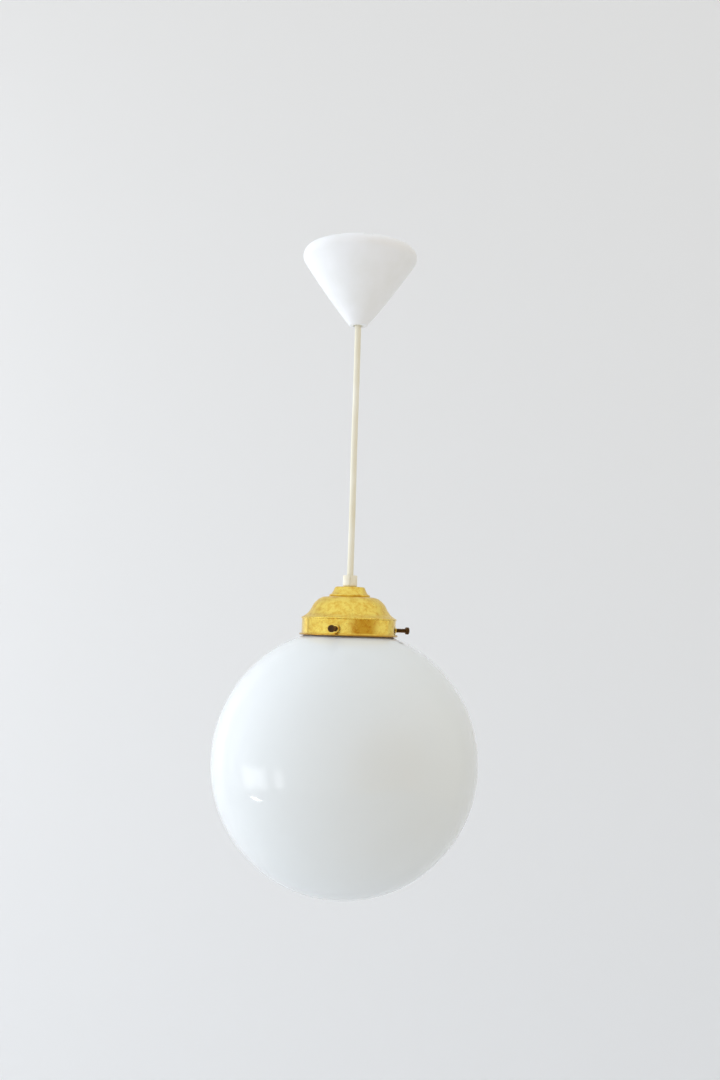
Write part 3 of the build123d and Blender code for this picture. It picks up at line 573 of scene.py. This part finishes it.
# ---- gallery: band, ridge and dome in one sheet, heights from its lowest edge
gallery = {
    "bandRadius": 44.5, "sheet": 1.0, "flangeRadius": 46.6, "beadRadius": 1.05, "bandTop": 15.4,
    "ridge": (45.3, 16.3), "shoulderHeight": 37.0, "holeRadius": 5.0,
    "dome": [(44.5, 17.2), (42.8, 18.2), (39.5, 20.6), (36.4, 24.8), (32.9, 30.9), (27.1, 35.7),
             (21.1, 37.0)],
    "spinning": 0.10,       # unevenness left by the spinner's roller
    "sides": 220,
}
galleryCap = {
    "height": 9.4, "sheet": 0.8, "topRadius": 14.5, "footRadius": 18.3, "beadRadius": 1.1, "corner": 1.6,
    "spinning": 0.05, "sides": 160,
}
onFlange = Matrix.Translation((0, 0, flangeZ))


def makeGallery():
    band, sheet, bead = gallery["bandRadius"], gallery["sheet"], gallery["beadRadius"]
    top, hole = gallery["shoulderHeight"], gallery["holeRadius"]
    crownMiddle = (hole + gallery["dome"][-1][0]) / 2
    beadCentre = gallery["flangeRadius"] - bead
    dome = throughPoints(gallery["dome"], 9)
    outline = [(band - sheet, 0.0), (beadCentre - 0.5, 0.0)]
    outline += arcPoints((beadCentre, bead), bead, -90, 90, 14)
    outline += arcPoints((band + 0.5, 2 * bead + 0.5), 0.5, -90, -180, 5)
    outline += [(band, z) for z in (4.0, 6.5, 9.0, 11.5, 14.0)]
    outline += throughPoints([(band, gallery["bandTop"]), gallery["ridge"], gallery["dome"][0]], 7)[:-1]
    outline += dome + [(crownMiddle, top), (hole, top), (hole, top - sheet), (crownMiddle, top - sheet)]
    inside = insetLine(dome, sheet)
    outline += inside[::-1] + [(band - sheet, gallery["bandTop"]), (band - sheet, 9.0), (band - sheet, 3.0)]
    shell = lathe("galleryShell", outline, gallery["sides"], wobble=gallery["spinning"], wobbleSize=11,
                  place=onFlange)
    return finishPiece(shell, brass, "gallery", "spun_brass", "gallery")


def makeGalleryCap():
    low, top = gallery["shoulderHeight"], gallery["shoulderHeight"] + galleryCap["height"]
    foot, crown, sheet = galleryCap["footRadius"], galleryCap["topRadius"], galleryCap["sheet"]
    bead, corner, hole = galleryCap["beadRadius"], galleryCap["corner"], gallery["holeRadius"]
    outline = [(hole, top), (hole + 4, top), (crown - corner, top)]
    outline += arcPoints((crown - corner, top - corner), corner, 90, 10, 9)[1:]
    outline += [(crown + 0.9, top - 3.4), (crown + 1.9, top - 5.4), (crown + 3.1, top - 6.8)]
    outline += arcPoints((foot, low + bead), bead, 100, -90, 16)
    outline += [(foot - sheet, low), (foot - sheet, low + bead), (crown + 1.0, top - 5.6),
                (crown - sheet, top - 3.0),
                (crown - corner, top - sheet), (hole, top - sheet)]
    shell = lathe("galleryCapShell", outline, galleryCap["sides"], wobble=galleryCap["spinning"],
                  wobbleSize=8,
                  place=onFlange)
    return finishPiece(shell, brass, "gallery", "spun_brass", "gallery_cap")


makeGallery()
makeGalleryCap()
print("gallery made")


# ---- thumbscrews in their bosses
thumbscrew = {
    "angles": [15, 135, 255], "height": 6.5, "radius": 2.0, "pitch": 0.7, "threadDepth": 0.35,
    "tip": 41.35,           # from the light's axis
    "headRadius": 3.4, "headThick": 3.4, "end": 59.7, "knurls": 26, "knurlDepth": 0.28,
}
boss = {"radius": 3.3, "neckRadius": 2.7, "bore": 2.05, "out": 2.1, "lip": 0.55}


def radialPlace(degrees):
    # an upright piece laid along the screw's axis, pointing out of the band
    tilt = Matrix.Rotation(math.radians(90), 4, "Y")
    turn = Matrix.Rotation(math.radians(degrees), 4, "Z")
    return Matrix.Translation((0, 0, flangeZ + thumbscrew["height"] * mm)) @ turn @ tilt


def makeKnurledHead(place):
    # straight knurls with a plain chamfer each side and a shallow dish in the face
    start, end = thumbscrew["end"] - thumbscrew["headThick"], thumbscrew["end"]
    full, sides = thumbscrew["headRadius"], thumbscrew["knurls"] * 6
    outline = [(0, start), (full - 0.8, start), (full - 0.45, start + 0.12), (full, start + 0.5)]
    outline += [(full, start + 0.5 + 0.3 * i) for i in range(1, 8)] + [(full, end - 0.5),
                                                                       (full - 0.45, end - 0.12)]
    outline += [(full - 0.8, end), (full - 1.3, end), (full - 1.6, end - 0.15), (0, end - 0.25)]
    rings = []
    for radius, height in outline:
        depth = thumbscrew["knurlDepth"] if radius > full - 0.1 else 0
        ring = []
        for i in range(sides):
            turn = 2 * math.pi * i / sides
            cut = depth * abs(math.sin(thumbscrew["knurls"] * turn / 2)) ** 3
            r = radius - cut
            ring.append(place @ (Vector((r * math.cos(turn), r * math.sin(turn), height)) * mm))
        rings.append(ring)
    return pieceFrom("head", *skinOf(rings, closed=True), sharpAngle=40)


def makeThumbscrew(number, degrees):
    place = radialPlace(degrees)
    shank = threaded("shank", thumbscrew["radius"], thumbscrew["pitch"], thumbscrew["threadDepth"],
                     thumbscrew["tip"], thumbscrew["end"] - thumbscrew["headThick"] + 0.3, 32, place)
    screw = joined(f"thumbscrewTurned{number}", [shank, makeKnurledHead(place)])
    return finishPiece(screw, screwBrass, f"thumbscrew_{number}", "aged_screw_brass", f"thumbscrew_{number}")


def makeBosses():
    band = gallery["bandRadius"]
    rings = []
    for degrees in thumbscrew["angles"]:
        out, radius, lip = band + boss["out"], boss["radius"], boss["lip"]
        outline = [(boss["neckRadius"], band - 1.2), (boss["neckRadius"], band - 0.2), (radius, band - 0.2)]
        outline += arcPoints((radius - lip, out - lip), lip, 0, 90, 6)
        outline += arcPoints((boss["bore"] + 0.35, out - 0.35), 0.35, 90, 180,
                             4) + [(boss["bore"], band - 1.2)]
        rings.append(lathe("boss", outline, 64, place=radialPlace(degrees)))
    return finishPiece(joined("bossRings", rings), polishedBrass, "gallery", "spun_brass", "screw_bosses")


for number, degrees in enumerate(thumbscrew["angles"], 1):
    makeThumbscrew(number, degrees)
makeBosses()
print("thumbscrews made")


# ---- small fasteners, conductors and threads that the CAD model keeps plain
smallScrew = {
    "head": 2.3, "headHigh": 1.7, "shank": 1.25, "pitch": 0.5, "threadDepth": 0.22,
    "slot": 0.6, "slotDeep": 0.8, "terminalRadius": 1.4,
}
coreWire = {"radius": 1.1, "circle": 1.55, "steps": 14, "sides": 20}
innerThreads = {
    "nipplePitch": 1.0, "nippleDepth": 0.5, "nippleBore": 3.6,
    "lampPitch": 3.62, "lampDepth": 0.8, "capSheet": 0.4, "shellSheet": 0.4, "coneHigh": 2.0, "coneTop": 9.0,
}


def cutSlot(piece, place, width, depth, length):
    # saws a straight slot across a screw's end; place puts the slot's floor in its XY plane
    half, reach = width / 2 * mm, length / 2 * mm
    corners = [(x, y, z) for x in (-half, half) for y in (-reach, reach) for z in (-depth * mm,
                                                                                   2 * depth * mm)]
    faces = [(0, 1, 3, 2), (4, 6, 7, 5), (0, 4, 5, 1), (2, 3, 7, 6), (0, 2, 6, 4), (1, 5, 7, 3)]
    saw = pieceFrom("saw", [place @ Vector(c) for c in corners], faces)
    cut = piece.modifiers.new("slot", "BOOLEAN")
    cut.operation, cut.object, cut.solver = "DIFFERENCE", saw, "EXACT"
    bpy.context.view_layer.update()
    sawn = bpy.data.meshes.new_from_object(piece.evaluated_get(bpy.context.evaluated_depsgraph_get()))
    piece.modifiers.clear()
    piece.data = sawn
    bpy.data.objects.remove(saw)
    return piece


def slottedScrew(x, z, headY, endY):
    # pan head towards -Y with a slot, and a threaded shank; x and z in m
    head, high, shank = smallScrew["head"], smallScrew["headHigh"], smallScrew["shank"]
    place = Matrix.Translation((x, headY, z)) @ Matrix.Rotation(math.radians(-90), 4, "X")
    outline = [(0, 0), (head - 0.7, 0.04)] + arcPoints((head - 0.7, 0.74), 0.7, -90, 0, 6)
    outline += [(head, high - 0.1), (head - 0.1, high), (0, high)]
    cap = lathe("pan", outline, 40, place=place)
    turned = place @ Matrix.Rotation(math.radians(35), 4, "Z")
    cutSlot(cap, turned, smallScrew["slot"], smallScrew["slotDeep"], 3 * head)
    length = (endY - headY) / mm
    rod = threaded("rod", shank, smallScrew["pitch"], smallScrew["threadDepth"], high - 0.05, length, 20,
                   place)
    return joined("slottedScrew", [cap, rod])


def setScrew(x, z, headY, endY, radius):
    # headless, slotted, in its hole; x and z in m
    place = Matrix.Translation((x, headY, z)) @ Matrix.Rotation(math.radians(-90 if endY > headY else 90), 4,
                                                                "X")
    body = threaded("setScrew", radius, smallScrew["pitch"], smallScrew["threadDepth"], 0,
                    abs(endY - headY) / mm, 24,
                    place)
    turned = place @ Matrix.Rotation(math.radians(20), 4, "Z")
    return cutSlot(body, turned, smallScrew["slot"], smallScrew["slotDeep"], 3 * radius)


def makeFasteners():
    reach = smallScrew["head"] * mm
    low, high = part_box("clamp_screws")
    pair = [slottedScrew(x, (low.z + high.z) / 2, low.y, high.y) for x in (low.x + reach, high.x - reach)]
    finishPiece(joined("clampScrewPair", pair), zincSteel, "suspension", "zinc_steel", "clamp_screws")
    low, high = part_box("block_screw")
    single = slottedScrew((low.x + high.x) / 2, (low.z + high.z) / 2, low.y, high.y)
    single.name = "blockFixingScrew"
    finishPiece(single, zincSteel, "suspension", "zinc_steel", "block_screw")
    low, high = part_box("terminal_screws")
    radius = smallScrew["terminalRadius"]
    places = [(x, z) for x in (low.x + radius * mm, 0, high.x - radius * mm)
              for z in (low.z + radius * mm, high.z - radius * mm)]
    six = [setScrew(x, z, low.y, high.y, radius) for x, z in places]
    finishPiece(joined("terminalScrewSet", six), zincSteel, "suspension", "zinc_steel", "terminal_screws")
    low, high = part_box("grip_screw")
    single = setScrew(0, (low.z + high.z) / 2, high.y, low.y, (high.x - low.x) / 2 / mm)
    single.name = "gripSetScrew"
    finishPiece(single, zincSteel, "grip", "zinc_steel", "grip_screw")


def makeConductors():
    # three cores spread from the flex into the terminals, and again inside the lamp holder
    radius, circle = coreWire["radius"] * mm, coreWire["circle"] * mm
    low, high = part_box("upper_conductors")
    poleLow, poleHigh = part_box("terminal_tubes")
    poleY = (poleLow.y + poleHigh.y) / 2
    poleXs = (poleLow.x + (poleHigh.y - poleLow.y) / 2, 0, poleHigh.x - (poleHigh.y - poleLow.y) / 2)
    colours = (("live", brownPvc), ("earth", earthPvc), ("neutral", bluePvc))
    for i, (x, (wire, colour)) in enumerate(zip(poleXs, colours)):
        turn = math.radians(180 - 90 * i)
        sx, sy = circle * math.cos(turn), circle * math.sin(turn)
        rise = (high.z - low.z) / 5
        points = [(sx, sy, low.z), (sx, sy, low.z + rise), (x, poleY, high.z - 2.4 * rise),
                  (x, poleY, high.z)]
        bend = throughPoints(points, coreWire["steps"])
        made = tubeAlong(f"{wire}CoreUpper", bend, radius, coreWire["sides"])
        nodesHeld = ("upper_conductors",) if wire == "live" else ()
        finishPiece(made, colour, "suspension", "core_insulation", *nodesHeld)
    low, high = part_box("holder_conductors")
    postLow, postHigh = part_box("holder_terminals")
    postReach = postHigh.y - (postHigh.z - postLow.z)
    for i, (wire, colour) in enumerate(colours):
        turn = math.radians(90 + 120 * i)
        outward = Vector((math.cos(turn), math.sin(turn), 0))
        entry = (postLow.z + postHigh.z) / 2
        fall = (high.z - entry) / 4
        points = [outward * circle + Vector((0, 0, z)) for z in (high.z, high.z - 2 * fall,
                                                                 high.z - 3 * fall)]
        points += [outward * (circle + 3.4 * mm) + Vector((0, 0, entry + 1.2 * mm)),
                   outward * (postReach + 1.5 * mm) + Vector((0, 0, entry))]
        bend = throughPoints(points, coreWire["steps"])
        made = tubeAlong(f"{wire}CoreLower", bend, radius * 0.95, coreWire["sides"])
        nodesHeld = ("holder_conductors",) if wire == "live" else ()
        finishPiece(made, colour, "gallery", "core_insulation", *nodesHeld)


def makeThreads():
    low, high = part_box("nipple")
    tube = threaded("threadedNipple", (high.x - low.x) / 2 / mm, innerThreads["nipplePitch"],
                    innerThreads["nippleDepth"], low.z / mm, high.z / mm, 48, bore=innerThreads["nippleBore"])
    finishPiece(tube, turnedBrass, "gallery", "turned_brass", "nipple")
    low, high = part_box("thread_shell")
    shell = threaded("rolledThreadShell", (high.x - low.x) / 2 / mm, innerThreads["lampPitch"],
                     innerThreads["lampDepth"], low.z / mm, high.z / mm, 72, sheet=innerThreads["shellSheet"])
    finishPiece(shell, turnedBrass, "gallery", "turned_brass", "thread_shell")
    low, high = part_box("bulb_cap")
    outer, sheet = (high.x - low.x) / 2 / mm, innerThreads["capSheet"]
    coneLow = high.z / mm - innerThreads["coneHigh"]
    root, coneTop = outer - innerThreads["lampDepth"], innerThreads["coneTop"]
    cap = threaded("capThread", outer, innerThreads["lampPitch"], innerThreads["lampDepth"], low.z / mm,
                   coneLow, 72,
                   sheet=sheet)
    cone = lathe("capCone", [(root, coneLow), (coneTop, high.z / mm), (coneTop - sheet, high.z / mm),
                             (root - sheet, coneLow)], 72)
    finishPiece(joined("rolledBulbCap", [cap, cone]), drawnAluminium, "bulb", "bulb_aluminium", "bulb_cap")


makeFasteners()
makeConductors()
makeThreads()
print("inner pieces made")


# ---- finishes of the CAD pieces that keep their shape
finishes = {
    "canopy": whiteAbs, "canopy_bush": creamNylon, "cord_grip": creamNylon, "cord_clamp": creamNylon,
    "terminal_block": creamNylon, "flex_tail": creamPvc,
    "ceiling_plate": zincSteel, "ceiling_hook": zincSteel, "hanger_strap": zincSteel, "washer": zincSteel,
    "upper_nut": turnedBrass, "lower_nut": turnedBrass, "terminal_tubes": turnedBrass,
    "centre_contact": turnedBrass, "holder_terminals": turnedBrass,
    "holder_cap": phenolic, "holder_skirt": phenolic, "holder_insert": porcelain,
    "bulb_contact": drawnAluminium, "bulb_insulator": vitrite,
    "bulb_glass": frosted, "bulb_stem": clearGlass, "filament": tungsten,
}
for name, material in finishes.items():
    nodes[name].data.materials.clear()
    nodes[name].data.materials.append(material)
print("CAD pieces finished")


# ---- backdrop and light
room = {
    "floorZ": -1.9, "wallY": 1.7, "halfWidth": 4.0, "bend": 0.5, "floorFront": -4.0, "wallTop": 3.0,   # m
    "wallColour": "#EEF0F2", "floorColour": "#DDDEDF",
    "coolSide": "#ECF1F9", "warmSide": "#DDDCD5", "toLight": (-0.70, -0.20, 0.68), "strength": 1.15,
    "behind": "#E2E1DF",    # what a viewer sees past the backdrop's edges
    # a dim, brown part of the room behind the viewer's right shoulder
    "dimSide": "#B89C66", "toDim": (0.62, -0.78, 0.0), "dimFrom": 0.72, "dimFull": 0.98,
}
windows = {
    # degrees from the camera's side round to the left, degrees up, m away, size in m, tilt in degrees,
    # radiance, colour
    "bigWindow": (78, -10, 2.0, (0.95, 0.50), 0, 1.4, "#F6F9FF"),
    "windowMiddle": (78, -10, 1.95, (0.60, 0.34), 0, 1.1, "#F6F9FF"),
    "narrowWindow": (53, -10, 2.0, (0.28, 0.42), 0, 2.0, "#F8FAFF"),
    "lowStrip": (79.5, -23.0, 2.0, (0.34, 0.03), -16, 30.0, "#FFFFFF"),
    "wallWash": (112, 10, 3.0, (1.4, 2.2), 0, 3.6, "#F6F9FF"),
}


def makeBackdrop():
    y, z, bend = room["wallY"], room["floorZ"], room["bend"]
    corner = [(y + a - bend, z + b + bend) for a, b in arcPoints((0, 0), bend, -90, 0, 16)]
    section = [(room["floorFront"], z)] + corner + [(y, room["wallTop"])]
    vertices = [(side * room["halfWidth"], py, pz) for py, pz in section for side in (-1, 1)]
    faces = [(2 * i, 2 * i + 1, 2 * i + 3, 2 * i + 2) for i in range(len(section) - 1)]
    sweep = pieceFrom("backdrop", vertices, faces, sharpAngle=60)
    # Emulsion paint, rolled on plaster: matt, with a faint roller stipple 3 mm apart
    material, tree, shader, place = startMaterial("rolledPaint")
    height = addNode(tree, "ShaderNodeSeparateXYZ", {"Vector": place})
    upWall = addNode(tree, "ShaderNodeMapRange", {"Value": height.outputs["Z"], "From Min": z,
                                                  "From Max": z + bend})
    tint = addNode(tree, "ShaderNodeMix", {0: upWall.outputs[0], 6: linear(room["floorColour"]),
                                           7: linear(room["wallColour"])}, data_type="RGBA")
    tree.links.new(tint.outputs[2], shader.inputs["Base Color"])
    shader.inputs["Roughness"].default_value = 0.85
    stipple = addNode(tree, "ShaderNodeTexNoise", {"Vector": place, "Scale": perMm(3), "Detail": 2.0})
    bump = addNode(tree, "ShaderNodeBump",
                   {"Height": stipple.outputs["Fac"], "Strength": 0.1, "Distance": 0.2 * mm})
    tree.links.new(bump.outputs[0], shader.inputs["Normal"])
    sweep.data.materials.append(material)


def makeWindow(name, turn, rise, away, size, tilt, radiance, colour):
    light = bpy.data.lights.new(name, "AREA")
    light.shape = "RECTANGLE"
    light.size, light.size_y = size
    light.energy = radiance * math.pi * size[0] * size[1]
    light.color = linear(colour)[:3]
    lamp = bpy.data.objects.new(name, light)
    bpy.context.scene.collection.objects.link(lamp)
    turn, rise = math.radians(turn), math.radians(rise)
    direction = Vector((-math.sin(turn) * math.cos(rise), -math.cos(turn) * math.cos(rise), math.sin(rise)))
    lamp.rotation_mode = "QUATERNION"
    lamp.rotation_quaternion = direction.to_track_quat("Z", "Y") @ Quaternion((0, 0, 1), math.radians(tilt))
    lamp.location = globeCentre + direction * away
    lamp.visible_glossy = name != "wallWash"    # the wash lights surfaces and shows in no reflection


def makeRoomLight():
    world = bpy.data.worlds.new("paleRoom")
    bpy.context.scene.world = world
    world.use_nodes = True
    tree = world.node_tree
    tree.nodes.clear()
    way = addNode(tree, "ShaderNodeTexCoord").outputs["Generated"]
    toLight = Vector(room["toLight"]).normalized()
    facing = addNode(tree, "ShaderNodeVectorMath", {0: way, 1: toLight}, operation="DOT_PRODUCT")
    share = addNode(tree, "ShaderNodeMapRange",
                    {"Value": facing.outputs["Value"], "From Min": -1.0, "From Max": 1.0})
    sky = addNode(tree, "ShaderNodeMix", {0: share.outputs[0], 6: linear(room["warmSide"]),
                                          7: linear(room["coolSide"])}, data_type="RGBA")
    towardsDim = addNode(tree, "ShaderNodeVectorMath", {0: way, 1: Vector(room["toDim"]).normalized()},
                         operation="DOT_PRODUCT")
    dim = addNode(tree, "ShaderNodeMapRange",
                  {"Value": towardsDim.outputs["Value"], "From Min": room["dimFrom"],
                   "From Max": room["dimFull"]}, interpolation_type="SMOOTHSTEP")
    around = addNode(tree, "ShaderNodeMix",
                     {0: dim.outputs[0], 6: sky.outputs[2], 7: linear(room["dimSide"])},
                     data_type="RGBA")
    ray = addNode(tree, "ShaderNodeLightPath")
    shown = addNode(tree, "ShaderNodeMix", {0: ray.outputs["Is Camera Ray"], 6: around.outputs[2],
                                            7: linear(room["behind"])}, data_type="RGBA")
    background = addNode(tree, "ShaderNodeBackground",
                         {"Color": shown.outputs[2], "Strength": room["strength"]})
    addNode(tree, "ShaderNodeOutputWorld", {"Surface": background.outputs[0]})


makeBackdrop()
for name, facts in windows.items():
    makeWindow(name, *facts)
makeRoomLight()
bpy.context.scene.view_settings.view_transform = "Standard"
print("light made")
